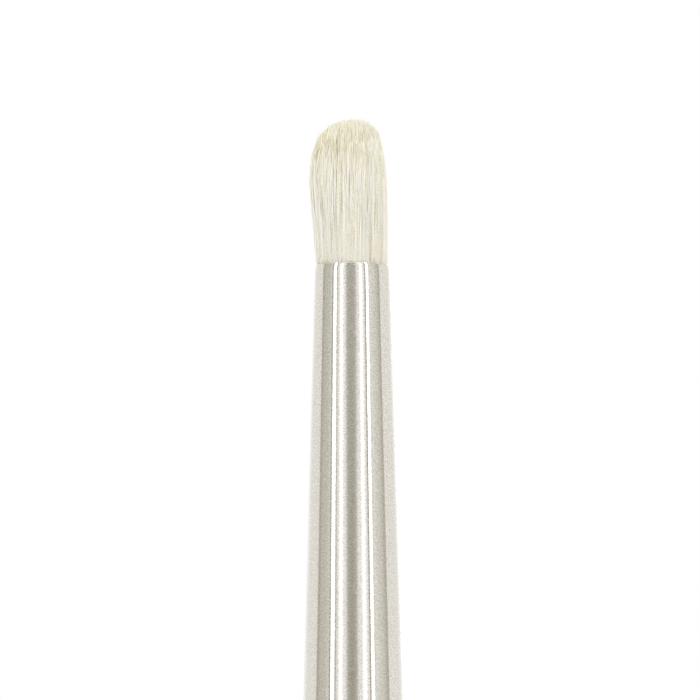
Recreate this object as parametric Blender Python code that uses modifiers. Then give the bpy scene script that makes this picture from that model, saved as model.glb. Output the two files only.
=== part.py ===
"""Detail makeup brush, modelled piece by piece the way the real one is put together.

A turned wooden handle is glued and crimped into the wide end of a tapered, nickel-plated
ferrule. A knot of goat hair, tied with thread and set in resin, is drawn up through the
ferrule until it wedges, and its domed tuft stands out of the narrow mouth.

Metres, +Z up along the brush. The origin is the centre of the handle's butt end.
"""

import math

import bmesh
import bpy
import numpy as np

MM = 0.001

# Sizes of the handle. Its length is what shows, from the butt end up to the shoulder.
HANDLE_LENGTH = 115.0 * MM
BUTT_FLAT_RADIUS = 1.5 * MM
BUTT_RADIUS = 2.5 * MM
BUTT_ROUND = 1.6 * MM
BELLY_RADIUS = 4.5 * MM
BELLY_HEIGHT = 95.0 * MM
SHOULDER_SETBACK = 0.1 * MM
SHOULDER_ROUND = 0.4 * MM
TENON_LENGTH = 22.0 * MM
TENON_CHAMFER = 0.6 * MM

# Sizes of the ferrule. Its two radii are those of the plain taper, without lip and crimps.
FERRULE_LENGTH = 46.0 * MM
MOUTH_RADIUS = 2.80 * MM
FOOT_RADIUS = 4.12 * MM
FERRULE_WALL = 0.25 * MM
LIP_HEIGHT = 0.45 * MM
LIP_INSET = 0.17 * MM
RIM_WALL = 0.12 * MM
FOOT_BEVEL = 0.08 * MM
CRIMP_COUNT = 2
CRIMP_WIDTH = 1.5 * MM
CRIMP_DEPTH = 0.25 * MM
CRIMP_PITCH = 3.6 * MM
FIRST_CRIMP_HEIGHT = 4.6 * MM

# Sizes of what the ferrule hides: glue on the tenon, the hair's knot, its thread and the resin.
GLUE_THICKNESS = 0.15 * MM
GLUE_MARGIN = 1.0 * MM
KNOT_DROP = 0.35 * MM
KNOT_LENGTH = 11.5 * MM
THREAD_DIAMETER = 0.35 * MM
THREAD_TURNS = 5
THREAD_DROP = 7.0 * MM
PLUG_LENGTH = 5.0 * MM
PLUG_DISH = 0.8 * MM

# Clearance between two pieces that touch on the real brush.
FIT_GAP = 0.2 * MM

# Sizes of the tuft. Its length is what stands out of the ferrule's mouth.
TUFT_LENGTH = 11.0 * MM
STRAND_COUNT = 350
STRAND_RADIUS = 0.08 * MM
STRAND_SIDES = 3
STRAND_EMBED = 0.15 * MM
STRAND_TIP_SHARE = 0.6
TOP_CONVERGENCE_SHARE = 0.22
TIP_SCATTER_SHARE = 0.012
SCATTER_SEED = 7

# The tuft's outline: its height as a share of the tuft's length, then its radius on the fuller
# and on the straighter side as shares of the mouth's bore radius.
TUFT_OUTLINE_SHARES = (
    (0.00, 0.96, 0.95),
    (0.08, 1.05, 1.02),
    (0.25, 1.12, 1.04),
    (0.42, 1.18, 1.02),
    (0.57, 1.23, 0.99),
    (0.70, 1.20, 0.95),
    (0.78, 1.13, 0.90),
    (0.86, 0.99, 0.83),
    (0.90, 0.87, 0.77),
    (0.94, 0.73, 0.66),
    (0.98, 0.42, 0.42),
    (1.00, 0.00, 0.00),
)
SPLAY_SHARE = 0.08
BELLY_SHARE = 0.57

# How finely the pieces are drawn.
FERRULE_STEPS = 48
HANDLE_STEPS = 40
INNER_STEPS = 24
ARC_POINTS = 5
RIDGE_POINTS = 3
CRIMP_POINTS = 6
SWELL_POINTS = 5
TAPER_POINTS = 10
GAP_LEVELS = 12
MERGE = 0.001 * MM
SHARP_ANGLE = math.radians(35.0)
FLAT_ANGLE = math.radians(0.1)

# Heights above the butt end. What is inside the ferrule is drawn from the ferrule's foot.
FOOT_HEIGHT = HANDLE_LENGTH + FIT_GAP
RIM_HEIGHT = FOOT_HEIGHT + FERRULE_LENGTH


# Scene, material and lathe helpers

def clear_scene():
    for old in list(bpy.data.objects):
        bpy.data.objects.remove(old, do_unlink=True)


def new_collection(name):
    made = bpy.data.collections.new(name)
    bpy.context.scene.collection.children.link(made)
    return made


def new_material(name, colour, roughness, metallic=0.0):
    made = bpy.data.materials.new(name)
    made.use_nodes = True
    shader = made.node_tree.nodes["Principled BSDF"]
    shader.inputs["Base Color"].default_value = (*colour, 1.0)
    shader.inputs["Roughness"].default_value = roughness
    shader.inputs["Metallic"].default_value = metallic
    return made


def evaluated_mesh(obj):
    """The object's mesh with its modifiers, or its curve's bevel, worked out."""
    graph = bpy.context.evaluated_depsgraph_get()
    return bpy.data.meshes.new_from_object(obj.evaluated_get(graph))


def turned(name, outline, steps, closed=False):
    """A lathe shape: the outline's (radius, height) points carried round Z by a Screw modifier."""
    count = len(outline)
    edges = [(i, i + 1) for i in range(count - 1)]
    if closed:
        edges.append((count - 1, 0))
    profile = bpy.data.meshes.new(name)
    profile.from_pydata([(radius, 0.0, height) for radius, height in outline], edges, [])
    obj = bpy.data.objects.new(name, profile)
    brush.objects.link(obj)
    screw = obj.modifiers.new("Turn", "SCREW")
    screw.steps = steps
    screw.render_steps = steps
    screw.use_merge_vertices = True
    screw.merge_threshold = MERGE
    obj.data = evaluated_mesh(obj)
    obj.modifiers.clear()
    bpy.data.meshes.remove(profile)
    return obj


def seat(obj, height, material):
    """Shades a finished piece and puts it at its height on the brush's axis."""
    obj.data.shade_smooth()
    obj.data.set_sharp_from_angle(angle=SHARP_ANGLE)
    obj.data.materials.append(material)
    obj.location = (0.0, 0.0, height)
    obj.parent = axis
    return obj


def eased(share):
    """A smooth run from 0 to 1 that is level at both ends."""
    return share * share * (3 - 2 * share)


def quarter_arc(count):
    """(sine, cosine) pairs that turn through a quarter circle."""
    turns = [math.pi / 2 * i / count for i in range(count + 1)]
    return [(math.sin(turn), math.cos(turn)) for turn in turns]


# The ferrule's radii by height above its foot, which the pieces inside it share

def crimp_heights():
    return [FIRST_CRIMP_HEIGHT + i * CRIMP_PITCH for i in range(CRIMP_COUNT)]


def crimp_inset(height):
    """How far the rolled grooves press the wall in: a raised cosine across each groove."""
    for middle in crimp_heights():
        offset = abs(height - middle)
        if offset < CRIMP_WIDTH / 2:
            return CRIMP_DEPTH * (1 + math.cos(2 * math.pi * offset / CRIMP_WIDTH)) / 2
    return 0.0


def lip_share(height):
    """0 below the lip, rising to 1 at the rim."""
    return max(0.0, 1 - (FERRULE_LENGTH - height) / LIP_HEIGHT)


def ferrule_outer(height):
    """The outside: a straight taper, pressed in at the crimps and rolled in along the lip."""
    taper = FOOT_RADIUS + (MOUTH_RADIUS - FOOT_RADIUS) * height / FERRULE_LENGTH
    lip = LIP_INSET * (1 - math.sqrt(1 - lip_share(height)**2))
    return taper - lip - crimp_inset(height)


def ferrule_inner(height):
    """The inside: the wall keeps its thickness up to the lip, where it thins to the rim."""
    return ferrule_outer(height) - FERRULE_WALL + (FERRULE_WALL - RIM_WALL) * lip_share(height)


def bore_fit(height):
    """The radius of a piece that fills the ferrule at this height."""
    return ferrule_inner(height) - FIT_GAP


def crimp_stations():
    """Heights that follow each crimp's curve, from the foot up."""
    across = [CRIMP_WIDTH * (i / CRIMP_POINTS - 0.5) for i in range(CRIMP_POINTS + 1)]
    return [middle + offset for middle in crimp_heights() for offset in across]


def lip_stations():
    """Heights that follow the lip's curve up to the rim."""
    return [FERRULE_LENGTH - LIP_HEIGHT * (1 - rise) for rise, _ in quarter_arc(ARC_POINTS)]


def glue_foot():
    """Where the glue film starts: just above the last crimp, which squeezes the wall tight."""
    return crimp_heights()[-1] + CRIMP_WIDTH / 2 + GLUE_MARGIN


# Handle: turned from birch with a tenon for the ferrule, and dipped in black lacquer

def tenon_outline():
    """From the tenon's top down to the shoulder: thinner where it is glued, then a close fit."""
    glued = [TENON_LENGTH - TENON_CHAMFER, glue_foot() - FIT_GAP]
    fitted = [glue_foot() - FIT_GAP, *reversed(crimp_stations()), 0.0]
    film = GLUE_THICKNESS + FIT_GAP
    top_radius = bore_fit(TENON_LENGTH) - film - TENON_CHAMFER
    outline = [(0.0, TENON_LENGTH), (top_radius, TENON_LENGTH)]
    outline += [(bore_fit(height) - film, height) for height in glued]
    outline += [(bore_fit(height), height) for height in fitted]
    outline.append((bore_fit(0.0), HANDLE_LENGTH - FOOT_HEIGHT))
    return [(radius, FOOT_HEIGHT + height) for radius, height in outline]


def grip_outline():
    """From the shoulder's rounded edge down over the belly and the long taper to the butt."""
    shoulder = FOOT_RADIUS - SHOULDER_SETBACK
    outline = [
        (shoulder - SHOULDER_ROUND * (1 - sine), HANDLE_LENGTH - SHOULDER_ROUND * (1 - cosine))
        for sine, cosine in quarter_arc(ARC_POINTS)
    ]
    swell_top = HANDLE_LENGTH - SHOULDER_ROUND
    for i in range(1, SWELL_POINTS + 1):
        share = i / SWELL_POINTS
        radius = shoulder + (BELLY_RADIUS - shoulder) * eased(share)
        outline.append((radius, swell_top + (BELLY_HEIGHT - swell_top) * share))
    for i in range(1, TAPER_POINTS):
        share = i / TAPER_POINTS
        radius = BELLY_RADIUS + (BUTT_RADIUS - BELLY_RADIUS) * eased(share)
        outline.append((radius, BELLY_HEIGHT + (BUTT_ROUND - BELLY_HEIGHT) * share))
    for sine, cosine in quarter_arc(ARC_POINTS):
        radius = BUTT_FLAT_RADIUS + (BUTT_RADIUS - BUTT_FLAT_RADIUS) * cosine
        outline.append((radius, BUTT_ROUND * (1 - sine)))
    return outline


def make_handle():
    lacquer = new_material("black_lacquer", (0.012, 0.012, 0.013), 0.12)
    outline = tenon_outline() + grip_outline() + [(0.0, 0.0)]
    return seat(turned("handle", outline, HANDLE_STEPS), 0.0, lacquer)


# Tenon glue: the film of adhesive between the tenon and the ferrule's wall, above the crimps

def make_tenon_glue():
    heights = [TENON_LENGTH - GLUE_MARGIN, glue_foot()]
    outside = [(bore_fit(height), height) for height in heights]
    inside = [(radius - GLUE_THICKNESS, height) for radius, height in reversed(outside)]
    adhesive = new_material("adhesive", (0.86, 0.80, 0.62), 0.4)
    film = turned("tenon_glue", outside + inside, HANDLE_STEPS, closed=True)
    return seat(film, FOOT_HEIGHT, adhesive)


# Ferrule: one seamless brass tube drawn to a taper, nickel plated, with rolled crimps

def make_ferrule():
    outside = [
        (ferrule_outer(height), height)
        for height in [FOOT_BEVEL, *crimp_stations(), *lip_stations()]
    ]
    foot = [(ferrule_outer(0.0) - FOOT_BEVEL, 0.0)]
    inside = [
        (ferrule_inner(height), height)
        for height in [0.0, *crimp_stations(), FERRULE_LENGTH - LIP_HEIGHT, FERRULE_LENGTH]
    ]
    nickel = new_material("nickel_plate", (0.80, 0.78, 0.73), 0.08, 1.0)
    tube = turned("ferrule", outside[::-1] + foot + inside, FERRULE_STEPS, closed=True)
    return seat(tube, FOOT_HEIGHT, nickel)


# Resin plug: poured in behind the knot, where it sets with a dished surface

def make_resin_plug():
    top = FERRULE_LENGTH - KNOT_LENGTH - FIT_GAP
    foot = top - PLUG_LENGTH
    outline = [(0.0, top), (bore_fit(top), top)]
    for rise, reach in quarter_arc(ARC_POINTS):
        outline.append((bore_fit(foot) * reach, foot + PLUG_DISH * rise))
    outline[-1] = (0.0, foot + PLUG_DISH)
    resin = new_material("set_resin", (0.72, 0.55, 0.24), 0.2)
    return seat(turned("resin_plug", outline, INNER_STEPS), FOOT_HEIGHT, resin)


# Binding thread: the waxed turns round the hair's roots, drawn as one ridged band

def thread_span():
    """(foot, top) of the winding above the ferrule's foot."""
    top = FERRULE_LENGTH - THREAD_DROP
    return top - THREAD_TURNS * THREAD_DIAMETER, top


def thread_inside():
    """The winding's inner radius, which leaves it clear of the ferrule's wall."""
    return bore_fit(thread_span()[1]) - THREAD_DIAMETER


def make_binding_thread():
    foot, top = thread_span()
    middle = thread_inside() + THREAD_DIAMETER / 2
    ridges = []
    for i in range(THREAD_TURNS * RIDGE_POINTS):
        lean = math.pi * (i % RIDGE_POINTS) / RIDGE_POINTS
        turn = i // RIDGE_POINTS + (1 - math.cos(lean)) / 2
        radius = middle + THREAD_DIAMETER / 2 * math.sin(lean)
        ridges.append((radius, top - THREAD_DIAMETER * turn))
    back = [(middle, foot), (thread_inside(), foot), (thread_inside(), top)]
    thread = new_material("waxed_thread", (0.88, 0.86, 0.80), 0.7)
    winding = turned("binding_thread", ridges + back, INNER_STEPS, closed=True)
    return seat(winding, FOOT_HEIGHT, thread)


# Hair tuft: goat hairs that are bonded into one knot below the rim and free above it

def knot_outline():
    """(radius, height above the rim) of the bonded roots, with a waist under the thread."""
    thread_foot, thread_top = thread_span()
    top = FERRULE_LENGTH - KNOT_DROP
    bottom = FERRULE_LENGTH - KNOT_LENGTH
    waist = (thread_top + FIT_GAP, thread_foot - FIT_GAP)
    outline = [(0.0, top)]
    outline += [(bore_fit(height), height) for height in (top, waist[0])]
    outline += [(thread_inside() - FIT_GAP, height) for height in waist]
    outline += [(bore_fit(height), height) for height in (waist[1], bottom)]
    outline.append((0.0, bottom))
    return [(radius, height - FERRULE_LENGTH) for radius, height in outline]


def outline_radius(height_share, fullness):
    """The tuft's radius in metres: its fuller side at fullness 1, its straighter side at 0."""
    heights, full, straight = np.array(TUFT_OUTLINE_SHARES).T
    fuller = np.interp(height_share, heights, full)
    straighter = np.interp(height_share, heights, straight)
    return ferrule_inner(FERRULE_LENGTH) * (straighter + (fuller - straighter) * fullness)


def outermost_reach(height_share, fullness):
    """How far out the outermost strand's centre would lie if it weren't cut to the dome."""
    past_belly = np.clip((height_share - BELLY_SHARE) / (1 - BELLY_SHARE), 0, 1)
    below_belly = outline_radius(np.minimum(height_share, BELLY_SHARE), fullness)
    return (below_belly - STRAND_RADIUS) * (1 - TOP_CONVERGENCE_SHARE * past_belly**2)


def tip_share(spread, fullness):
    """Height share at which a strand with this share of the reach meets the domed outline."""
    heights = np.linspace(BELLY_SHARE, 1.0, len(TUFT_OUTLINE_SHARES))
    dome = np.maximum(outline_radius(heights, fullness) - STRAND_RADIUS, 0)
    return np.interp(spread, (dome / outermost_reach(heights, fullness))[::-1], heights[::-1])


def strand_paths():
    """Each strand's (x, y, height above the rim, width share) from its root to its tip.

    The roots fill a disc in a sunflower pattern. On its way up a strand keeps its bearing and
    its share of the reach, so the strands spread and close together and none cross.
    """
    scatter = np.random.default_rng(SCATTER_SEED)
    golden_turn = math.pi * (3 - math.sqrt(5))
    root_height = -KNOT_DROP - STRAND_EMBED
    root_reach = bore_fit(FERRULE_LENGTH + root_height) - STRAND_RADIUS
    paths = []
    for i in range(STRAND_COUNT):
        spread = math.sqrt((i + 0.5) / STRAND_COUNT)
        bearing = i * golden_turn
        fullness = (1 - math.cos(bearing)) / 2
        tip = tip_share(spread, fullness) * (1 - TIP_SCATTER_SHARE * scatter.uniform())
        path = [(root_reach, root_height, 1.0)]
        for share, width in ((SPLAY_SHARE, 1.0), (BELLY_SHARE, 1.0), (tip, STRAND_TIP_SHARE)):
            path.append((outermost_reach(share, fullness), TUFT_LENGTH * share, width))
        across, along = spread * math.cos(bearing), spread * math.sin(bearing)
        paths.append([
            (reach * across, reach * along, height, width) for reach, height, width in path
        ])
    return paths


def least_strand_gap(paths):
    """The least clear distance between two strands, measured at evenly spaced heights."""
    least = math.inf
    for height in np.linspace(-KNOT_DROP, TUFT_LENGTH, GAP_LEVELS):
        cuts = []
        for x, y, z, width in (np.array(path).T for path in paths):
            if z[-1] >= height:
                cuts.append([np.interp(height, z, values) for values in (x, y, width)])
        x, y, width = np.array(cuts).reshape(-1, 3).T
        apart = np.hypot(x[:, None] - x, y[:, None] - y)
        clear = apart - STRAND_RADIUS * (width[:, None] + width)
        np.fill_diagonal(clear, math.inf)
        least = min(least, clear.min(initial=math.inf))
    return least


def section_curve():
    """The strands' cross-section: a regular polygon whose corners lie at their radius."""
    curve = bpy.data.curves.new("strand_section", "CURVE")
    curve.dimensions = "2D"
    ring = curve.splines.new("POLY")
    ring.points.add(STRAND_SIDES - 1)
    ring.use_cyclic_u = True
    for i, point in enumerate(ring.points):
        turn = 2 * math.pi * i / STRAND_SIDES
        corner = (STRAND_RADIUS * math.cos(turn), STRAND_RADIUS * math.sin(turn))
        point.co = (*corner, 0.0, 1.0)
    return helper(bpy.data.objects.new("strand_section", curve))


def helper(obj):
    """Keeps an object that is only cut or joined with others out of the model."""
    cutters.objects.link(obj)
    obj.hide_render = True
    obj.display_type = "WIRE"
    return obj


def make_strands():
    """All strands in one helper mesh, from a curve that has one poly spline for each."""
    paths = strand_paths()
    print(f"least gap between strands {least_strand_gap(paths) / MM:.3f} mm")
    section = section_curve()
    curve = bpy.data.curves.new("strand_guides", "CURVE")
    curve.dimensions = "3D"
    curve.bevel_mode = "OBJECT"
    curve.bevel_object = section
    curve.use_fill_caps = True
    for path in paths:
        spline = curve.splines.new("POLY")
        spline.points.add(len(path) - 1)
        for point, (x, y, height, width) in zip(spline.points, path):
            point.co = (x, y, height, 1.0)
            point.radius = width
    guides = helper(bpy.data.objects.new("strand_guides", curve))
    mesh = evaluated_mesh(guides)
    bpy.data.objects.remove(guides)
    bpy.data.objects.remove(section)
    welded = bmesh.new()
    welded.from_mesh(mesh)
    bmesh.ops.remove_doubles(welded, verts=welded.verts, dist=MERGE)
    bmesh.ops.recalc_face_normals(welded, faces=welded.faces)
    welded.to_mesh(mesh)
    welded.free()
    return helper(bpy.data.objects.new("strands", mesh))


def join_flat_faces(mesh):
    """Turns each flat fan of triangles into one face, which the strands then divide less."""
    joined = bmesh.new()
    joined.from_mesh(mesh)
    bmesh.ops.dissolve_limit(
        joined, angle_limit=FLAT_ANGLE, verts=joined.verts, edges=joined.edges)
    joined.to_mesh(mesh)
    joined.free()


def make_hair_tuft():
    tuft = turned("hair_tuft", knot_outline(), INNER_STEPS)
    join_flat_faces(tuft.data)
    strands = make_strands()
    join = tuft.modifiers.new("Set strands in the knot", "BOOLEAN")
    join.operation = "UNION"
    join.solver = "EXACT"
    join.object = strands
    tuft.data = evaluated_mesh(tuft)
    tuft.modifiers.clear()
    bpy.data.objects.remove(strands)
    hair = new_material("goat_hair", (0.86, 0.83, 0.72), 0.6)
    return seat(tuft, RIM_HEIGHT, hair)


clear_scene()
brush = new_collection("detail_makeup_brush")
cutters = new_collection("cutters")
axis = bpy.data.objects.new("brush_axis", None)
brush.objects.link(axis)
make_handle()
make_tenon_glue()
make_ferrule()
make_resin_plug()
make_binding_thread()
make_hair_tuft()
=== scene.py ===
"""The looks of a detail makeup brush, photographed in a bright studio.

A lacquered handle, a mirror-polished ferrule and a domed tuft of goat hair are dressed over the
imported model, in its own frame: metres, +Z up the brush from the middle of its butt end.
"""

import math

import bpy
import numpy as np
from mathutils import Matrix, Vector


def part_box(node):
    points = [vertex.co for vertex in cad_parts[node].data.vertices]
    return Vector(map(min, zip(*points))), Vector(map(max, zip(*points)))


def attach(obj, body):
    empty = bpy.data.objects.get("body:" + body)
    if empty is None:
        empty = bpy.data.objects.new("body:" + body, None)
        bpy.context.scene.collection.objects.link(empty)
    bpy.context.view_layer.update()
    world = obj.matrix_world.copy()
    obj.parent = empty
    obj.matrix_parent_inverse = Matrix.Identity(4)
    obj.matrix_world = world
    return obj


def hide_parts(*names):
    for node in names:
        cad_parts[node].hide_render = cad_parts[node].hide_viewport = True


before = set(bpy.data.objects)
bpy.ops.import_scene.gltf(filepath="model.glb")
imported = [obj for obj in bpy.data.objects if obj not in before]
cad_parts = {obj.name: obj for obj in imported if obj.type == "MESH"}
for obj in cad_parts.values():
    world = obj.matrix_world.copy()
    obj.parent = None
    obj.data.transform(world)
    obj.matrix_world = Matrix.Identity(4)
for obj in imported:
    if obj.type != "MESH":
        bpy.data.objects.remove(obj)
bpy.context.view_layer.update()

# Handle: a birch stick turned to a long taper, with a tenon at its thick end for the ferrule.
# It was dipped in black lacquer several times, and rubbed a little thin at the butt's edge.

MM = 0.001
FIT_GAP = 0.2 * MM
BUTT_FLAT_RADIUS = 1.5 * MM
BUTT_RADIUS = 2.5 * MM
BUTT_ROUND = 1.6 * MM
BELLY_RADIUS = 4.5 * MM
BELLY_HEIGHT = 95.0 * MM
SHOULDER_RADIUS = 4.02 * MM
SHOULDER_ROUND = 0.4 * MM
TENON_RADIUS = 3.2 * MM
TENON_CHAMFER = 0.6 * MM
RUBBED_HEIGHT = 2.2 * MM
EDGE_STEPS = 14
TAPER_STEPS = 90
SWELL_STEPS = 30
butt_end, tenon_end = (corner.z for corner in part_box("handle"))
ferrule_foot, rim = (corner.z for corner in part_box("ferrule"))
shoulder = ferrule_foot - FIT_GAP


def eased(share):
    """A run from 0 to 1 that is level at both ends: 3 s^2 - 2 s^3."""
    return share**2 * (3 - 2 * share)


def quarter_turn(count):
    """Sines and cosines of evenly spaced turns through a quarter circle."""
    turn = np.linspace(0, math.pi / 2, count)
    return np.sin(turn), np.cos(turn)


def turned_mesh(name, radius, height, around=192, ring=False):
    """A surface round Z: the profile point j, carried round to the turn a, lies at
    (radius_j cos a, radius_j sin a, height_j), where the radius may also depend on a. The
    profile runs up its outer side. It starts and ends on the axis, or joins up as a ring."""
    radius = np.reshape(radius, (len(height), -1))
    turn = np.linspace(0, 2 * math.pi, around, endpoint=False)
    shape = (len(height), around)
    points = np.stack([
        radius * np.cos(turn),
        radius * np.sin(turn),
        np.broadcast_to(height[:, None], shape),
    ], axis=-1)
    if not ring:
        points = points[1:-1]
    rows = len(points)
    low = np.arange(rows if ring else rows - 1)[:, None] * around
    high = (low + around) % (rows * around)
    here = np.arange(around)
    after = (here + 1) % around
    quads = np.stack([low + here, low + after, high + after, high + here], axis=-1)
    points = points.reshape(-1, 3)
    faces = quads.reshape(-1, 4).tolist()
    if not ring:
        last = (rows - 1) * around
        foot, top = np.full((2, around), [[rows * around], [rows * around + 1]])
        points = np.vstack([points, [[0, 0, height[0]], [0, 0, height[-1]]]])
        faces += np.stack([after, here, foot], axis=-1).tolist()
        faces += np.stack([last + here, last + after, top], axis=-1).tolist()
    mesh = bpy.data.meshes.new(name)
    mesh.from_pydata(points.tolist(), [], faces)
    mesh.shade_smooth()
    mesh.set_sharp_from_angle(angle=math.radians(40))
    return mesh


def add_piece(name, mesh, material, node):
    """Puts a finished mesh in the scene in place of a CAD node."""
    mesh.materials.append(material)
    piece = bpy.data.objects.new(name, mesh)
    bpy.context.scene.collection.objects.link(piece)
    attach(piece, "root")
    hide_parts(node)


class Wire:
    """An output socket of a node tree. Arithmetic on it adds Math nodes."""

    def __init__(self, tree, socket):
        self.tree = tree
        self.socket = socket

    def node(self, kind, settings=None, inputs=None, output=0):
        """Adds a node: its settings first, then a value or a wire for each named socket."""
        made = self.tree.nodes.new(kind)
        for name, value in (settings or {}).items():
            setattr(made, name, value)
        for name, value in (inputs or {}).items():
            if isinstance(value, Wire):
                self.tree.links.new(value.socket, made.inputs[name])
            else:
                made.inputs[name].default_value = value
        return Wire(self.tree, made.outputs[output] if made.outputs else None)

    def math(self, operation, *values):
        """A Math node on these values, given in its sockets' order."""
        return self.node("ShaderNodeMath", {"operation": operation}, dict(enumerate(values)))

    def __add__(self, other):
        return self.math("ADD", self, other)

    def __mul__(self, other):
        return self.math("MULTIPLY", self, other)

    def __sub__(self, other):
        return self.math("SUBTRACT", self, other)

    def __rsub__(self, other):
        return self.math("SUBTRACT", other, self)

    def __truediv__(self, other):
        return self.math("DIVIDE", self, other)

    __radd__ = __add__
    __rmul__ = __mul__

    def between(self, low, high):
        """0 below low and 1 above high, with a smooth rise."""
        ends = {"From Min": low, "From Max": high}
        settings = {"interpolation_type": "SMOOTHSTEP"}
        return self.node("ShaderNodeMapRange", settings, {"Value": self, **ends})

    def mixed(self, low, high):
        """The colour that lies this far from low to high."""
        settings = {"data_type": "RGBA"}
        low, high = (c if isinstance(c, Wire) else (*c, 1.0) for c in (low, high))
        return self.node("ShaderNodeMix", settings, {0: self, 6: low, 7: high}, output=2)

    def scaled(self, across, along):
        """Coordinates stretched alike across the brush, and otherwise along it."""
        scale = {"Scale": (across, across, along)}
        return self.node("ShaderNodeMapping", inputs={"Vector": self, **scale})

    def noise(self, scale, detail=2.0, roughness=0.5):
        """Perlin noise on these coordinates, about 0 to 1."""
        values = {"Vector": self, "Scale": scale, "Detail": detail, "Roughness": roughness}
        return self.node("ShaderNodeTexNoise", inputs=values)

    def bumped(self, strength, distance):
        """The normal of a surface with this height on it."""
        values = {"Height": self, "Strength": strength, "Distance": distance}
        return self.node("ShaderNodeBump", inputs=values)

    def shade(self, **sockets):
        """Ends the material in a Principled shader. Its sockets are named with underscores."""
        inputs = {name.replace("_", " "): value for name, value in sockets.items()}
        shader = self.node("ShaderNodeBsdfPrincipled", inputs=inputs)
        return self.node("ShaderNodeOutputMaterial", inputs={"Surface": shader})


def new_material(name):
    """An empty material, and its Object coordinates as a wire."""
    material = bpy.data.materials.new(name)
    material.use_nodes = True
    tree = material.node_tree
    tree.nodes.clear()
    coordinates = tree.nodes.new("ShaderNodeTexCoord")
    return material, Wire(tree, coordinates.outputs["Object"])


def black_lacquer():
    """Near-black lacquer under a clear gloss, with faint orange peel and the wood's long grain
    telegraphing through. It is rubbed thin to dark brown round the butt's edge."""
    material, where = new_material("black_lacquer")
    height = where.node("ShaderNodeSeparateXYZ", inputs={"Vector": where}, output=2)
    grain = where.scaled(1.0, 0.04).noise(2600.0, detail=3.0)
    peel = where.noise(900.0, detail=1.0)
    low_down = 1 - height.between(butt_end, butt_end + RUBBED_HEIGHT)
    rubbed = (low_down * where.noise(1500.0, detail=4.0)).between(0.25, 0.6)
    relief = grain * 0.4 + peel * 0.6
    where.shade(
        Base_Color=rubbed.mixed((0.008, 0.008, 0.009), (0.085, 0.042, 0.020)),
        Roughness=0.22 + grain * 0.1,
        Specular_IOR_Level=0.0,
        Coat_Weight=0.85,
        Coat_IOR=1.45,
        Coat_Roughness=0.04,
        Normal=relief.bumped(0.12, 0.01 * MM),
    )
    return material


def handle_profile():
    """Up the outside: butt flat, rounded edge, long eased taper, swell, shoulder and tenon."""
    sine, cosine = quarter_turn(EDGE_STEPS)
    butt_radius = BUTT_FLAT_RADIUS + (BUTT_RADIUS - BUTT_FLAT_RADIUS) * sine
    butt_height = BUTT_ROUND * (1 - cosine)
    share = np.linspace(0, 1, TAPER_STEPS)[1:]
    taper_radius = BUTT_RADIUS + (BELLY_RADIUS - BUTT_RADIUS) * eased(share)
    taper_height = BUTT_ROUND + (BELLY_HEIGHT - BUTT_ROUND) * share
    share = np.linspace(0, 1, SWELL_STEPS)[1:]
    neck = shoulder - SHOULDER_ROUND
    swell_radius = BELLY_RADIUS + (SHOULDER_RADIUS - BELLY_RADIUS) * eased(share)
    swell_height = BELLY_HEIGHT + (neck - BELLY_HEIGHT) * share
    edge_radius = SHOULDER_RADIUS - SHOULDER_ROUND * (1 - cosine[1:])
    edge_height = neck + SHOULDER_ROUND * sine[1:]
    tenon_radius = [TENON_RADIUS, TENON_RADIUS, TENON_RADIUS - TENON_CHAMFER, 0]
    tenon_height = [shoulder, tenon_end - TENON_CHAMFER, tenon_end, tenon_end]
    radius = [[0], butt_radius, taper_radius, swell_radius, edge_radius, tenon_radius]
    height = [[0], butt_height, taper_height, swell_height, edge_height, tenon_height]
    return np.concatenate(radius), butt_end + np.concatenate(height)


handle_mesh = turned_mesh("lacquered_handle", *handle_profile())
add_piece("lacquered_handle", handle_mesh, black_lacquer(), "handle")


# Tenon glue: a thin film of hard adhesive round the tenon, cloudy and a little rippled. It is
# squeezed between the wood and the ferrule, so it never shows.

def set_adhesive():
    """Cloudy, pale amber adhesive with small bubbles."""
    material, where = new_material("set_adhesive")
    cloud = where.noise(1200.0, detail=4.0)
    bubbles = where.noise(5000.0, detail=1.0).between(0.62, 0.7)
    where.shade(
        Base_Color=cloud.mixed((0.80, 0.72, 0.52), (0.90, 0.86, 0.72)),
        Roughness=0.32 + bubbles * 0.25,
        Normal=(cloud - bubbles * 0.5).bumped(0.3, 0.02 * MM),
    )
    return material


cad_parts["tenon_glue"].material_slots[0].material = set_adhesive()


# Ferrule: one seamless brass tube, drawn to a taper, nickel plated and polished to a mirror.
# Its mouth is rolled in to a soft lip, and two grooves near its foot crimp it to the tenon.

MOUTH_RADIUS = 2.80 * MM
FOOT_RADIUS = 4.12 * MM
FERRULE_WALL = 0.25 * MM
LIP_HEIGHT = 0.6 * MM
LIP_LEAN = 0.06 * MM
LIP_ROUND = 0.03 * MM
RIM_WALL = 0.16 * MM
FOOT_BEVEL = 0.08 * MM
CRIMP_HEIGHTS = (4.6 * MM, 8.2 * MM)
CRIMP_WIDTH = 1.5 * MM
CRIMP_DEPTH = 0.25 * MM
CRIMP_STEPS = 29
LEANING_STEPS = 8
LIP_STEPS = 12
BODY_STEPS = 24
ferrule_length = rim - ferrule_foot


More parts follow.
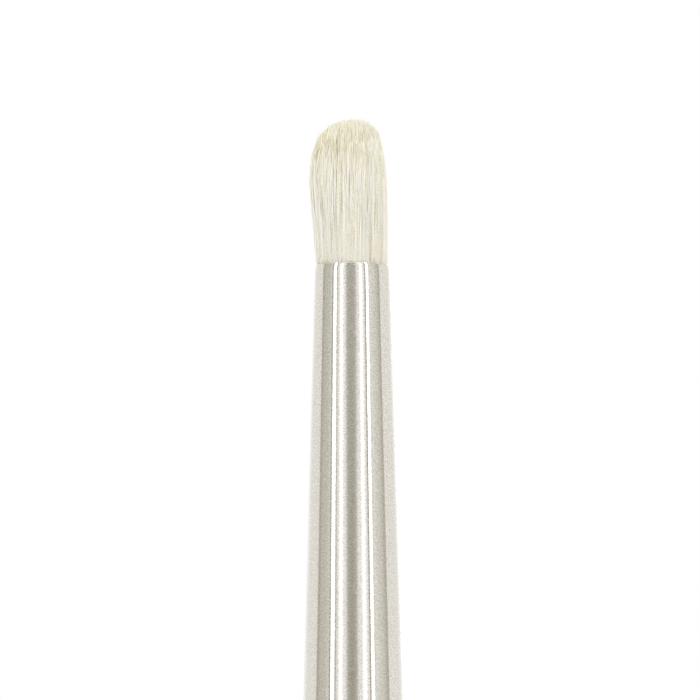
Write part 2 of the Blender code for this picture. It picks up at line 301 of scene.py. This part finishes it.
def ferrule_radius(height):
    """The outside at a height above the foot: a straight taper, less a raised cosine at each
    crimp, less lean s^2 along the lip, less the small round at its edge."""
    radius = FOOT_RADIUS + (MOUTH_RADIUS - FOOT_RADIUS) * height / ferrule_length
    for middle in CRIMP_HEIGHTS:
        offset = np.minimum(np.abs(height - middle) / CRIMP_WIDTH, 0.5)
        radius = radius - CRIMP_DEPTH * (1 + np.cos(2 * math.pi * offset)) / 2
    into_lip = np.clip(1 - (ferrule_length - height) / LIP_HEIGHT, 0, 1)
    into_round = np.clip(1 - (ferrule_length - height) / LIP_ROUND, 0, 1)
    return radius - LIP_LEAN * into_lip**2 - LIP_ROUND * (1 - np.sqrt(1 - into_round**2))


def ferrule_profile():
    """A ring: up the outside from the bevelled foot, over the rounded rim, down the inside,
    which keeps every fourth height of the outside."""
    across_crimp = CRIMP_WIDTH * np.linspace(-0.5, 0.5, CRIMP_STEPS)
    crimps = [middle + across_crimp for middle in CRIMP_HEIGHTS]
    sine, _ = quarter_turn(LIP_STEPS)
    lip_ends = ferrule_length - LIP_HEIGHT, ferrule_length - LIP_ROUND
    leaning = np.linspace(*lip_ends, LEANING_STEPS)
    lip = np.concatenate([leaning[:-1], ferrule_length - LIP_ROUND * (1 - sine)])
    body = np.linspace(CRIMP_HEIGHTS[1] + CRIMP_WIDTH, lip[0], BODY_STEPS)[:-1]
    outside = np.concatenate([[FOOT_BEVEL], *crimps, body, lip])
    inside = outside[::-4]
    into_lip = np.clip(1 - (ferrule_length - inside) / LIP_HEIGHT, 0, 1)
    wall = FERRULE_WALL + (RIM_WALL - FERRULE_WALL) * into_lip
    foot_radius = [FOOT_RADIUS - FERRULE_WALL, FOOT_RADIUS - FOOT_BEVEL]
    radius = [ferrule_radius(outside), ferrule_radius(inside) - wall, foot_radius]
    height = [outside, inside, [0, 0]]
    return np.concatenate(radius), ferrule_foot + np.concatenate(height)


def polished_nickel():
    """Warm bright nickel. The plating has a very fine satin mottle, and the polish leaves
    faint lines along the tube."""
    material, where = new_material("polished_nickel")
    mottle = where.noise(11000.0, detail=0.0)
    cloud = where.noise(500.0, detail=2.0)
    polish = where.scaled(1.0, 0.02).noise(6000.0, detail=2.0)
    specks = mottle.between(0.35, 0.65)
    tone = specks * 0.9 + cloud * 0.1
    relief = mottle * 0.8 + polish * 0.2
    where.shade(
        Base_Color=tone.mixed((0.612, 0.585, 0.524), (0.812, 0.778, 0.712)),
        Metallic=1.0,
        Roughness=0.065 + mottle * 0.02,
        Normal=relief.bumped(0.02, 0.01 * MM),
    )
    return material


ferrule_mesh = turned_mesh("polished_ferrule", *ferrule_profile(), around=256, ring=True)
add_piece("polished_ferrule", ferrule_mesh, polished_nickel(), "ferrule")


# Resin plug: amber epoxy poured in behind the knot, where it sets glossy with a few bubbles.

def amber_resin():
    """Glossy amber epoxy with darker swirls."""
    material, where = new_material("amber_resin")
    swirl = where.noise(700.0, detail=3.0, roughness=0.6)
    where.shade(
        Base_Color=swirl.mixed((0.48, 0.30, 0.09), (0.80, 0.62, 0.30)),
        Roughness=0.12 + swirl * 0.1,
        Coat_Weight=0.6,
        Normal=swirl.bumped(0.2, 0.02 * MM),
    )
    return material


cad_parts["resin_plug"].material_slots[0].material = amber_resin()


# Binding thread: five turns of waxed cotton that tie the roots of the hair together.

def waxed_cotton():
    """Off-white twisted yarn: fine slanting fibres under a dull wax."""
    material, where = new_material("waxed_cotton")
    fibres = where.scaled(1.0, 3.0).noise(5000.0, detail=3.0, roughness=0.6)
    where.shade(
        Base_Color=fibres.mixed((0.70, 0.66, 0.56), (0.92, 0.90, 0.84)),
        Roughness=0.55 + fibres * 0.2,
        Normal=fibres.bumped(0.5, 0.03 * MM),
    )
    return material


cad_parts["binding_thread"].material_slots[0].material = waxed_cotton()


# Hair tuft: a few thousand cream goat hairs with their natural tips, yellower near the top.
# Their roots are bonded in one knot inside the ferrule, and above it they fall into soft locks.
# A packed core stands for the hairs too deep to see. Round it stands a shell, over it a crown.

TUFT_LENGTH = 11.0 * MM
ROOT_DEPTH = 0.5 * MM
BELLY_SHARE = 0.57
TOP_CONVERGENCE_SHARE = 0.33
EDGE_SHARE = 1.02
KNOT_GAP = 0.05 * MM
knot_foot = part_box("hair_tuft")[0].z
bore = MOUTH_RADIUS - LIP_LEAN - LIP_ROUND - RIM_WALL
chance = np.random.default_rng(11)

# One hair: the two ranges are for its radius, as a share of HAIR_RADIUS, and its count of waves.
HAIR_RADIUS = 0.036 * MM
HAIR_SIZES = (0.8, 1.2)
HAIR_LEAN = 0.05
HAIR_SIDES = 3
WAVE = 0.04 * MM
WAVE_TURNS = (1.0, 5.5)

# Hairs cling together in locks. Each is drawn to its lock's middle by a share of LOCK_PULL.
LOCK_COUNT = 800
LOCK_PULL = 0.4
LOCK_PULL_SHARES = (0.1, 1.0)
LOCK_LEAN = 0.012
LOCK_TONE = 0.15

# The tuft's outline: its height as a share of its length, then its radius on the fuller left
# and on the straighter right side as shares of the mouth's bore radius.
TUFT_OUTLINE_SHARES = (
    (-0.10, 0.93, 0.93),
    (0.00, 1.00, 1.00),
    (0.02, 1.06, 1.04),
    (0.08, 1.075, 1.03),
    (0.25, 1.12, 1.03),
    (0.42, 1.18, 1.02),
    (0.57, 1.23, 0.99),
    (0.70, 1.20, 0.95),
    (0.78, 1.13, 0.90),
    (0.86, 0.99, 0.83),
    (0.90, 0.87, 0.77),
    (0.94, 0.73, 0.66),
    (0.98, 0.42, 0.42),
    (1.00, 0.00, 0.00),
)


def fullness_at(bearing):
    """1 on the left side, 0 on the right side and level there: (1 - cos a) / 2."""
    return (1 - np.cos(bearing)) / 2


def outline_radius(height_share, fullness):
    """The tuft's radius: the left outline at fullness 1, the right one at 0, mixed between."""
    heights, left, right = np.array(TUFT_OUTLINE_SHARES).T
    fuller = np.interp(height_share, heights, left)
    straighter = np.interp(height_share, heights, right)
    return bore * (straighter + (fuller - straighter) * fullness)


def outermost_reach(height_share, fullness):
    """How far out the outermost hair goes: along the outline up to the belly, then leaning in
    by a growing share: reach = outline at belly (1 - c p^2), p = 0 at the belly, 1 at the top."""
    past_belly = np.clip((height_share - BELLY_SHARE) / (1 - BELLY_SHARE), 0, 1)
    along = outline_radius(np.minimum(height_share, BELLY_SHARE), fullness)
    return along * (1 - TOP_CONVERGENCE_SHARE * past_belly**2)


def dome_share(spread, fullness):
    """Height share at which a hair with this share of the reach leaves the domed outline:
    where outline / reach falls to its share, read off for 21 grades of fullness and mixed."""
    heights = np.linspace(BELLY_SHARE, 1, 120)
    grades = np.linspace(0, 1, 21)
    table = []
    for grade in grades:
        kept = outline_radius(heights, grade) / outermost_reach(heights, grade)
        kept = np.minimum.accumulate(kept)
        table.append(np.interp(spread, kept[::-1], heights[::-1]))
    place = fullness * (len(grades) - 1)
    low = np.minimum(place.astype(int), len(grades) - 2)
    table = np.array(table)
    picked = np.arange(len(spread))
    return table[low, picked] + (table[low + 1, picked] - table[low, picked]) * (place - low)


def spread_disc(count):
    """Sunflower pattern: the share of the radius sqrt((i + 1/2) / n), at golden-angle bearings."""
    index = np.arange(count)
    return np.sqrt((index + 0.5) / count), index * math.pi * (3 - math.sqrt(5))


def on_disc(spread, bearing):
    """The points with these shares of the radius, at these bearings."""
    return np.stack([spread * np.cos(bearing), spread * np.sin(bearing)], axis=1)


def fallen(root):
    """Where hairs end on the disc, and which lock they are in: drawn a share of the way to the
    middle of the nearest lock, plus the lock's lean and their own, kept inside the disc."""
    middle = on_disc(*spread_disc(LOCK_COUNT))
    lock = np.linalg.norm(root[:, None] - middle[None], axis=2).argmin(axis=1)
    pull = LOCK_PULL * chance.uniform(*LOCK_PULL_SHARES, (len(root), 1))
    lean = lock_lean[lock] + chance.normal(0, HAIR_LEAN, root.shape)
    top = root + (middle[lock] - root) * pull + lean
    return top / np.maximum(np.linalg.norm(top, axis=1, keepdims=True) / EDGE_SHARE, 1), lock


def hair_paths(root, top, root_share, tip_share, stations):
    """Every hair's centre line, as an array of hairs by stations by (x, y, z). It moves from
    its root to its top place on the disc, root + (top - root) h^1.5 at the height share h, and
    out by the outermost reach there, with a small wave besides."""
    rise = np.linspace(0, 1, stations)
    share = root_share[:, None] + (tip_share - root_share)[:, None] * rise
    height = np.clip(share, 0, 1)[..., None]
    place = root[:, None] + (top - root)[:, None] * height**1.5
    fullness = fullness_at(np.arctan2(place[..., 1], place[..., 0]))
    reach = outermost_reach(share, fullness)[..., None]
    phase = chance.uniform(0, 2 * math.pi, (len(root), 1, 2))
    turns = chance.uniform(*WAVE_TURNS, (len(root), 1, 2))
    wave = WAVE * height * np.sin(2 * math.pi * turns * height + phase)
    flat = place * reach + wave
    return np.concatenate([flat, rim + TUFT_LENGTH * share[..., None]], axis=2)


def set_tones(mesh, tones):
    """Gives every point of a mesh its tone, from 0 for tan hair to 1 for near-white hair."""
    tone = mesh.attributes.new("tone", "FLOAT", "POINT")
    tone.data.foreach_set("value", tones.astype(np.float32))


def hair_mesh(name, paths, thickness, tones):
    """Three-sided tapering tubes, all at once: corner = path + r (cos a, sin a, 0), where r is
    the hair's thickness times 0.85 + 0.6 s - 1.05 t^1.5. It swells slowly with s, 0 to 1 along
    the hair, and narrows with t, 0 to 1 over the last fifth, to a fine tip."""
    count, stations, _ = paths.shape
    rise = np.linspace(0, 1, stations)
    taper = 0.85 + 0.6 * rise - 1.05 * np.clip((rise - 0.78) / 0.22, 0, 1) ** 1.5
    radius = thickness[:, None, None] * taper[None, :, None]
    side = np.arange(HAIR_SIDES)
    after = (side + 1) % HAIR_SIDES
    turn = side * 2 * math.pi / HAIR_SIDES + chance.uniform(0, 2, (count, 1, 1))
    offset = np.stack([radius * np.cos(turn), radius * np.sin(turn), 0 * radius * turn], axis=-1)
    points = (paths[:, :, None] + offset).reshape(-1, 3)
    first = (np.arange(count) * stations * HAIR_SIDES)[:, None, None]
    low = first + (np.arange(stations - 1) * HAIR_SIDES)[:, None]
    high = low + HAIR_SIDES
    quads = np.stack([low + side, low + after, high + after, high + side], axis=-1)
    roots = first[:, 0] + side[::-1]
    tips = first[:, 0] + (stations - 1) * HAIR_SIDES + side
    faces = quads.reshape(-1, 4).tolist() + roots.tolist() + tips.tolist()
    mesh = bpy.data.meshes.new(name)
    mesh.from_pydata(points.tolist(), [], faces)
    mesh.shade_smooth()
    set_tones(mesh, np.repeat(tones, stations * HAIR_SIDES))
    return mesh


TAN = (0.740, 0.665, 0.430)
CREAM = (0.919, 0.880, 0.756)
NEAR_WHITE = (0.955, 0.943, 0.880)
# The dark colour mixed in as painted shade over the hair's lower part and its top.
PAINTED_SHADE = (0.56, 0.535, 0.46)
STRAW_YELLOW = (0.94, 0.88, 0.57)
YELLOWED_SPOT = (-1.0 * MM, -2.4 * MM, rim + 8.8 * MM)
YELLOWED_REACH = (0.5 * MM, 5.0 * MM)


def goat_hair():
    """Cream hair, from tan to near-white hair by hair, with fine streaks along it and a fine
    mottle. Painted shade darkens it a little over its lower two thirds and at the very top.
    It warms to straw yellow upwards, in soft spots and most of all round one spot. Its sheen
    is dull."""
    material, where = new_material("goat_hair")
    height = where.node("ShaderNodeSeparateXYZ", inputs={"Vector": where}, output=2)
    share = (height - rim) / TUFT_LENGTH
    own_tone = where.node("ShaderNodeAttribute", {"attribute_name": "tone"}, output=2)
    streaks = where.scaled(1.0, 0.05).noise(4200.0, detail=0.0).between(0.35, 0.65)
    mottle = where.noise(9500.0, detail=0.0).between(0.35, 0.65)
    tone = own_tone * 0.35 + streaks * 0.3 + mottle * 0.4
    warm = tone.between(0.0, 0.5).mixed(TAN, CREAM)
    fair = tone.between(0.35, 1.0).mixed(warm, NEAR_WHITE)
    # Painted shade: the colour is mixed towards a dark grey-cream, fully below 0.64 of the tuft's
    # length and fading out by 0.96.
    painted_root_shade = 1 - share.between(0.64, 0.96)
    # Painted shade over the top of the tuft, from 0.82 of its length up.
    tips = share.between(0.82, 1.0)
    hair = (painted_root_shade * 0.19 + tips * 0.2).mixed(fair, PAINTED_SHADE)
    ends = {0: where, 1: YELLOWED_SPOT}
    away = where.node("ShaderNodeVectorMath", {"operation": "DISTANCE"}, ends, output=1)
    patch = 1 - away.between(*YELLOWED_REACH)
    spots = where.noise(450.0, detail=1.0)
    yellowed = share.between(0.4, 0.9) * (spots * 0.12 + patch * 0.24)
    where.shade(
        Base_Color=yellowed.mixed(hair, STRAW_YELLOW),
        Roughness=0.5,
        Specular_IOR_Level=0.35,
    )
    return material


def add_hairs(name, paths, lock, fairness, variety, size=1.0):
    """A piece of many hairs, each with a thickness of its own. Its tone is the fairness given
    plus its lock's own tone, and strays from that by a random step as large as the variety."""
    thickness = size * HAIR_RADIUS * chance.uniform(*HAIR_SIZES, len(paths))
    tones = np.clip(fairness + lock_tone[lock] + chance.normal(0, variety, len(paths)), 0, 1)
    mesh = hair_mesh(name, paths, thickness, tones)
    add_piece(name, mesh, goat, "hair_tuft")


goat = goat_hair()
lock_lean = chance.normal(0, LOCK_LEAN, (LOCK_COUNT, 2))
lock_tone = chance.uniform(-LOCK_TONE, LOCK_TONE, LOCK_COUNT)
foot_share = -ROOT_DEPTH / TUFT_LENGTH

# The crown: hairs all over the dome, of which only the upper ends are made.
CROWN_COUNT = 6000
CROWN_SHARE = 0.97
CROWN_SHOWN_SHARE = 0.3
CROWN_TIP_SCATTER = (-0.01, 0.013)

spread, bearing = spread_disc(CROWN_COUNT)
spread = spread * CROWN_SHARE
crown_root = on_disc(spread, bearing)
crown_top, lock = fallen(crown_root)
crown_tip = dome_share(spread, fullness_at(bearing))
crown_tip = crown_tip * (1 + chance.normal(*CROWN_TIP_SCATTER, CROWN_COUNT))
paths = hair_paths(crown_root, crown_top, crown_tip - CROWN_SHOWN_SHARE, crown_tip, 6)
add_hairs("crown_hairs", paths, lock, fairness=0.55, variety=0.3)

# The shell: hairs round the outside from the mouth to their tips, and packed closer towards the
# outside: spread = inner + (outer - inner) (1 - (1 - e^2)^0.7), e even. Their tone is fairer
# further out, which paints shade on the deeper hairs and light on the outermost ones.
SHELL_COUNT = 3400
SHELL_SHARE = 0.93
SHELL_PACKING = 0.7
SHELL_TIP_SHARE = 0.985
SHELL_TIP_SCATTER = (-0.03, 0.035)

even, bearing = spread_disc(SHELL_COUNT)
spread = SHELL_SHARE + (EDGE_SHARE - SHELL_SHARE) * (1 - (1 - even**2) ** SHELL_PACKING)
shell_root = on_disc(spread, bearing)
shell_top, lock = fallen(shell_root)
shell_tip = dome_share(np.minimum(spread, SHELL_TIP_SHARE), fullness_at(bearing))
shell_tip = shell_tip * (1 + chance.normal(*SHELL_TIP_SCATTER, SHELL_COUNT))
shell_foot = np.full(SHELL_COUNT, foot_share)
paths = hair_paths(shell_root, shell_top, shell_foot, shell_tip, 18)
# Painted shade and light: deeper hairs are given a darker, warmer tone, outer ones a fairer one.
fairness = 0.35 + 0.3 * (spread - SHELL_SHARE) / (EDGE_SHARE - SHELL_SHARE)
on_left = shell_root[:, 0] < 0
for name, chosen in (("left_shell_hairs", on_left), ("right_shell_hairs", ~on_left)):
    add_hairs(name, paths[chosen], lock[chosen], fairness[chosen], variety=0.4)

# Strays: thin, pale hairs that stand just off the rest and end anywhere up the side.
STRAY_COUNT = 200
STRAY_SIZE = 0.6
STRAY_SWAY = 0.08
STRAY_TOP_SHARES = (0.97, 1.03)
STRAY_TIP_SHARES = (0.3, 0.84)

bearing = chance.uniform(0, 2 * math.pi, STRAY_COUNT)
stray_root = on_disc(np.ones(STRAY_COUNT), bearing)
sway = chance.normal(0, STRAY_SWAY, STRAY_COUNT)
stray_top = on_disc(chance.uniform(*STRAY_TOP_SHARES, STRAY_COUNT), bearing + sway)
stray_tip = chance.uniform(*STRAY_TIP_SHARES, STRAY_COUNT)
stray_foot = np.full(STRAY_COUNT, foot_share)
paths = hair_paths(stray_root, stray_top, stray_foot, stray_tip, 12)
lock = chance.integers(0, LOCK_COUNT, STRAY_COUNT)
add_hairs("stray_hairs", paths, lock, fairness=0.8, variety=0.4, size=STRAY_SIZE)

# The core: the tuft's outline drawn in a little, closed below the mouth and at its top. Its one
# tone is that of the hairs over it.
CORE_SHARE = 0.95
CORE_TOP_SHARE = 0.96
CORE_TONE = 0.5
CORE_AROUND = 120

core_share = np.concatenate([[foot_share] * 2, np.linspace(0, 1, 60)])
core_turn = np.linspace(0, 2 * math.pi, CORE_AROUND, endpoint=False)
core_radius = CORE_SHARE * outline_radius(core_share[:, None], fullness_at(core_turn))
core_radius[0] = 0
core_height = rim + CORE_TOP_SHARE * TUFT_LENGTH * core_share
core_mesh = turned_mesh("packed_hairs", core_radius, core_height, around=CORE_AROUND)
set_tones(core_mesh, np.full(len(core_mesh.vertices), CORE_TONE))
add_piece("packed_hairs", core_mesh, goat, "hair_tuft")

# The knot: the same hairs, bonded together inside the ferrule.
knot_radius = bore - KNOT_GAP
knot_top = rim - ROOT_DEPTH
knot_mesh = turned_mesh(
    "bonded_knot",
    np.array([0, knot_radius, knot_radius, 0]),
    np.array([knot_foot, knot_foot, knot_top, knot_top]),
    around=96,
)
add_piece("bonded_knot", knot_mesh, goat, "hair_tuft")


# Studio: a white sweep all round, which the polished metal shows as a row of upright lamps,
# screens and dark gaps. A white table stands under the brush.

TOP_LEVEL = 1.65
TOP_EDGE = (0.5, 0.75)
STRIP_LEVEL = 8.0
STRIP_BEARINGS = (-49.5, 48.6, 178.0)
STRIP_EDGE = (1.3, 1.8)
STRIP_END = (0.6, 0.7)

# The ferrule mirrors the room at these heights, lower ones at its foot and higher ones at its
# mouth, besides what its taper adds. On the way up the things move to the left and a little
# closer together, and a pale grey screen comes in behind the camera.
MIRRORED_HEIGHTS = (0.0635, 0.0924)
MIRRORED_TAPER = 0.0573
LEAN_DEGREES = 3.2
SQUEEZE_DEGREES = 3.6
SCREEN_EDGE = (12.5, 18.5)
SCREEN_SHARE = 0.7
SCREEN_GREY = (0.60, 0.60, 0.59)

# What stands round the brush, to the left and right of the camera: bearings in degrees and the
# brightness there. It runs straight from one to the next, so close pairs are edges.
LEFT_SIDE = (
    (0.0, 0.45),
    (9.0, 0.52),
    (12.0, 0.62),
    (15.3, 1.02),
    (20.0, 1.14),
    (22.5, 1.14),
    (24.5, 1.38),
    (28.5, 1.90),
    (32.0, 1.45),
    (35.0, 1.18),
    (37.0, 0.98),
    (40.0, 1.02),
    (41.4, 0.60),
    (44.2, 0.60),
    (44.8, 1.65),
    (54.2, 1.65),
    (54.9, 0.38),
    (57.6, 0.38),
    (59.6, 0.90),
    (64.0, 0.80),
    (70.0, 0.72),
    (85.0, 0.67),
    (90.0, 0.56),
    (95.0, 0.52),
    (96.0, 0.99),
    (112.0, 1.01),
    (136.0, 1.00),
    (150.0, 1.06),
    (165.0, 1.20),
    (166.0, 0.56),
    (172.0, 0.70),
    (173.0, 1.60),
)
RIGHT_SIDE = (
    (0.0, 0.45),
    (5.0, 0.52),
    (9.5, 0.62),
    (12.0, 0.90),
    (14.0, 1.02),
    (17.5, 1.11),
    (21.0, 1.06),
    (23.5, 1.25),
    (28.5, 1.90),
    (32.0, 1.48),
    (35.0, 1.22),
    (37.0, 1.08),
    (40.0, 1.02),
    (41.0, 0.48),
    (44.6, 0.48),
    (45.2, 1.65),
    (51.9, 1.65),
    (52.7, 1.02),
    (56.0, 0.90),
    (60.0, 1.00),
    (64.0, 0.90),
    (70.0, 0.87),
    (82.0, 0.75),
    (88.0, 0.62),
    (94.0, 0.56),
    (95.0, 1.02),
    (138.0, 0.99),
    (152.0, 1.05),
    (165.0, 1.18),
    (166.0, 0.56),
    (172.0, 0.70),
    (173.0, 1.60),
)


def side_ramp(wire, side):
    """The light at a bearing of 0 to 1 half turns: a little warm in the dark things and cool
    in the bright ones, (level^0.97, level, level^1.18)."""
    ramp = wire.tree.nodes.new("ShaderNodeValToRGB")
    wire.tree.links.new(wire.socket, ramp.inputs[0])
    elements = ramp.color_ramp.elements
    elements[1].position = side[-1][0] / 180
    for bearing, _ in side[1:-1]:
        elements.new(bearing / 180)
    for element, (_, level) in zip(elements, side):
        element.color = (level**0.97, level, level**1.18, 1.0)
    return Wire(wire.tree, ramp.outputs[0])


def light_studio():
    """A world that shows white to the camera and the studio's things to everything else. A
    direction's height, less the taper times cos(a / 2) at its bearing a, says how far they lean."""
    world = bpy.data.worlds.new("studio")
    world.use_nodes = True
    tree = world.node_tree
    tree.nodes.clear()
    towards = Wire(tree, tree.nodes.new("ShaderNodeTexCoord").outputs["Generated"])
    x, y, z = (
        towards.node("ShaderNodeSeparateXYZ", inputs={"Vector": towards}, output=axis)
        for axis in range(3)
    )
    straight = x.math("ARCTAN2", x, 0 - y) / math.pi
    half = straight * (math.pi / 2)
    highness = (z - MIRRORED_TAPER * half.math("COSINE", half)).between(*MIRRORED_HEIGHTS)
    bearing = straight + highness * (LEAN_DEGREES - straight * SQUEEZE_DEGREES) / 180
    turned_off = bearing.math("ABSOLUTE", bearing)
    right = bearing.math("GREATER_THAN", bearing, 0.0)
    sides = side_ramp(turned_off, LEFT_SIDE), side_ramp(turned_off, RIGHT_SIDE)
    around = right.mixed(*sides)
    screen = 1 - (turned_off * 180).between(*SCREEN_EDGE)
    around = (screen * highness * SCREEN_SHARE).mixed(around, SCREEN_GREY)
    for middle in STRIP_BEARINGS:
        offset = bearing * 180 - middle
        near = 1 - offset.math("ABSOLUTE", offset).between(*STRIP_EDGE)
        near = near * (1 - z.math("ABSOLUTE", z).between(*STRIP_END))
        around = near.mixed(around, (STRIP_LEVEL,) * 3)
    overhead = z.between(*TOP_EDGE)
    lit = overhead.mixed(around, (TOP_LEVEL,) * 3)
    seen = towards.node("ShaderNodeLightPath", output=0)
    light = seen.mixed(lit, (1.0, 1.0, 1.0))
    background = towards.node("ShaderNodeBackground", inputs={"Color": light})
    towards.node("ShaderNodeOutputWorld", inputs={"Surface": background})
    bpy.context.scene.world = world


# Two round soft boxes behind the brush: name, bearing, height over the rim, size and power.
LAMP_DISTANCE = 1.0
LAMPS = (
    ("left_back_lamp", -115, 0.5, 0.5, 1.7),
    ("right_back_lamp", 125, 0.4, 0.5, 0.6),
)


def add_lamp(name, bearing, height, size, power):
    """A round soft box, turned to the tuft. It lights the hair, and the metal doesn't show it."""
    light = bpy.data.lights.new(name, "AREA")
    light.shape = "DISK"
    light.size = size
    light.energy = power
    lamp = bpy.data.objects.new(name, light)
    bpy.context.scene.collection.objects.link(lamp)
    turn = math.radians(bearing)
    away = Vector((LAMP_DISTANCE * math.sin(turn), -LAMP_DISTANCE * math.cos(turn), height))
    lamp.location = away + Vector((0, 0, rim))
    lamp.rotation_euler = (-away).to_track_quat("-Z", "Y").to_euler()
    lamp.visible_glossy = False
    lamp.visible_camera = False


def white_table():
    """Smooth white laminate with a barely visible tooth."""
    material, where = new_material("white_table")
    tooth = where.noise(300.0, detail=3.0)
    where.shade(
        Base_Color=tooth.mixed((0.76, 0.76, 0.755), (0.80, 0.80, 0.795)),
        Roughness=0.55 + tooth * 0.1,
        Specular_IOR_Level=0.2,
        Normal=tooth.bumped(0.1, 0.05 * MM),
    )
    return material


TABLE_RADIUS = 110.0 * MM
TABLE_THICKNESS = 10.0 * MM

light_studio()
for settings in LAMPS:
    add_lamp(*settings)
table_mesh = turned_mesh(
    "table",
    np.array([0, TABLE_RADIUS, TABLE_RADIUS, 0]),
    butt_end - TABLE_THICKNESS * np.array([1, 1, 0, 0]),
)
table_mesh.materials.append(white_table())
table = bpy.data.objects.new("table", table_mesh)
bpy.context.scene.collection.objects.link(table)


# Camera: a metre away and a little lower than the middle of the brush, so it looks up at the
# tuft by five degrees. The rim's middle falls on MOUTH_PIXEL.

PICTURE = 700
PIXELS_PER_MM = 13.28
MOUTH_PIXEL = (352.25, 265.5)
DISTANCE = 1.0
LOOK_UP = math.radians(5.0)
AXIS_LEAN = math.radians(0.13)

half_width = PICTURE / 2 / PIXELS_PER_MM * MM
aim_x = (PICTURE / 2 - MOUTH_PIXEL[0]) / PIXELS_PER_MM * MM
aim_z = rim - (PICTURE / 2 - MOUTH_PIXEL[1]) / PIXELS_PER_MM / math.cos(LOOK_UP) * MM
lens = bpy.data.cameras.new("camera")
lens.sensor_width = 36.0
lens.lens = lens.sensor_width / 2 / (half_width / DISTANCE)
lens.clip_start = 0.05
lens.clip_end = 20.0
camera = bpy.data.objects.new("camera", lens)
bpy.context.scene.collection.objects.link(camera)
camera.location = (
    aim_x,
    -DISTANCE * math.cos(LOOK_UP),
    aim_z - DISTANCE * math.sin(LOOK_UP),
)
camera.rotation_mode = "ZYX"
camera.rotation_euler = (math.pi / 2 + LOOK_UP, 0.0, -AXIS_LEAN)
bpy.context.scene.camera = camera
bpy.context.scene.view_settings.view_transform = "Standard"
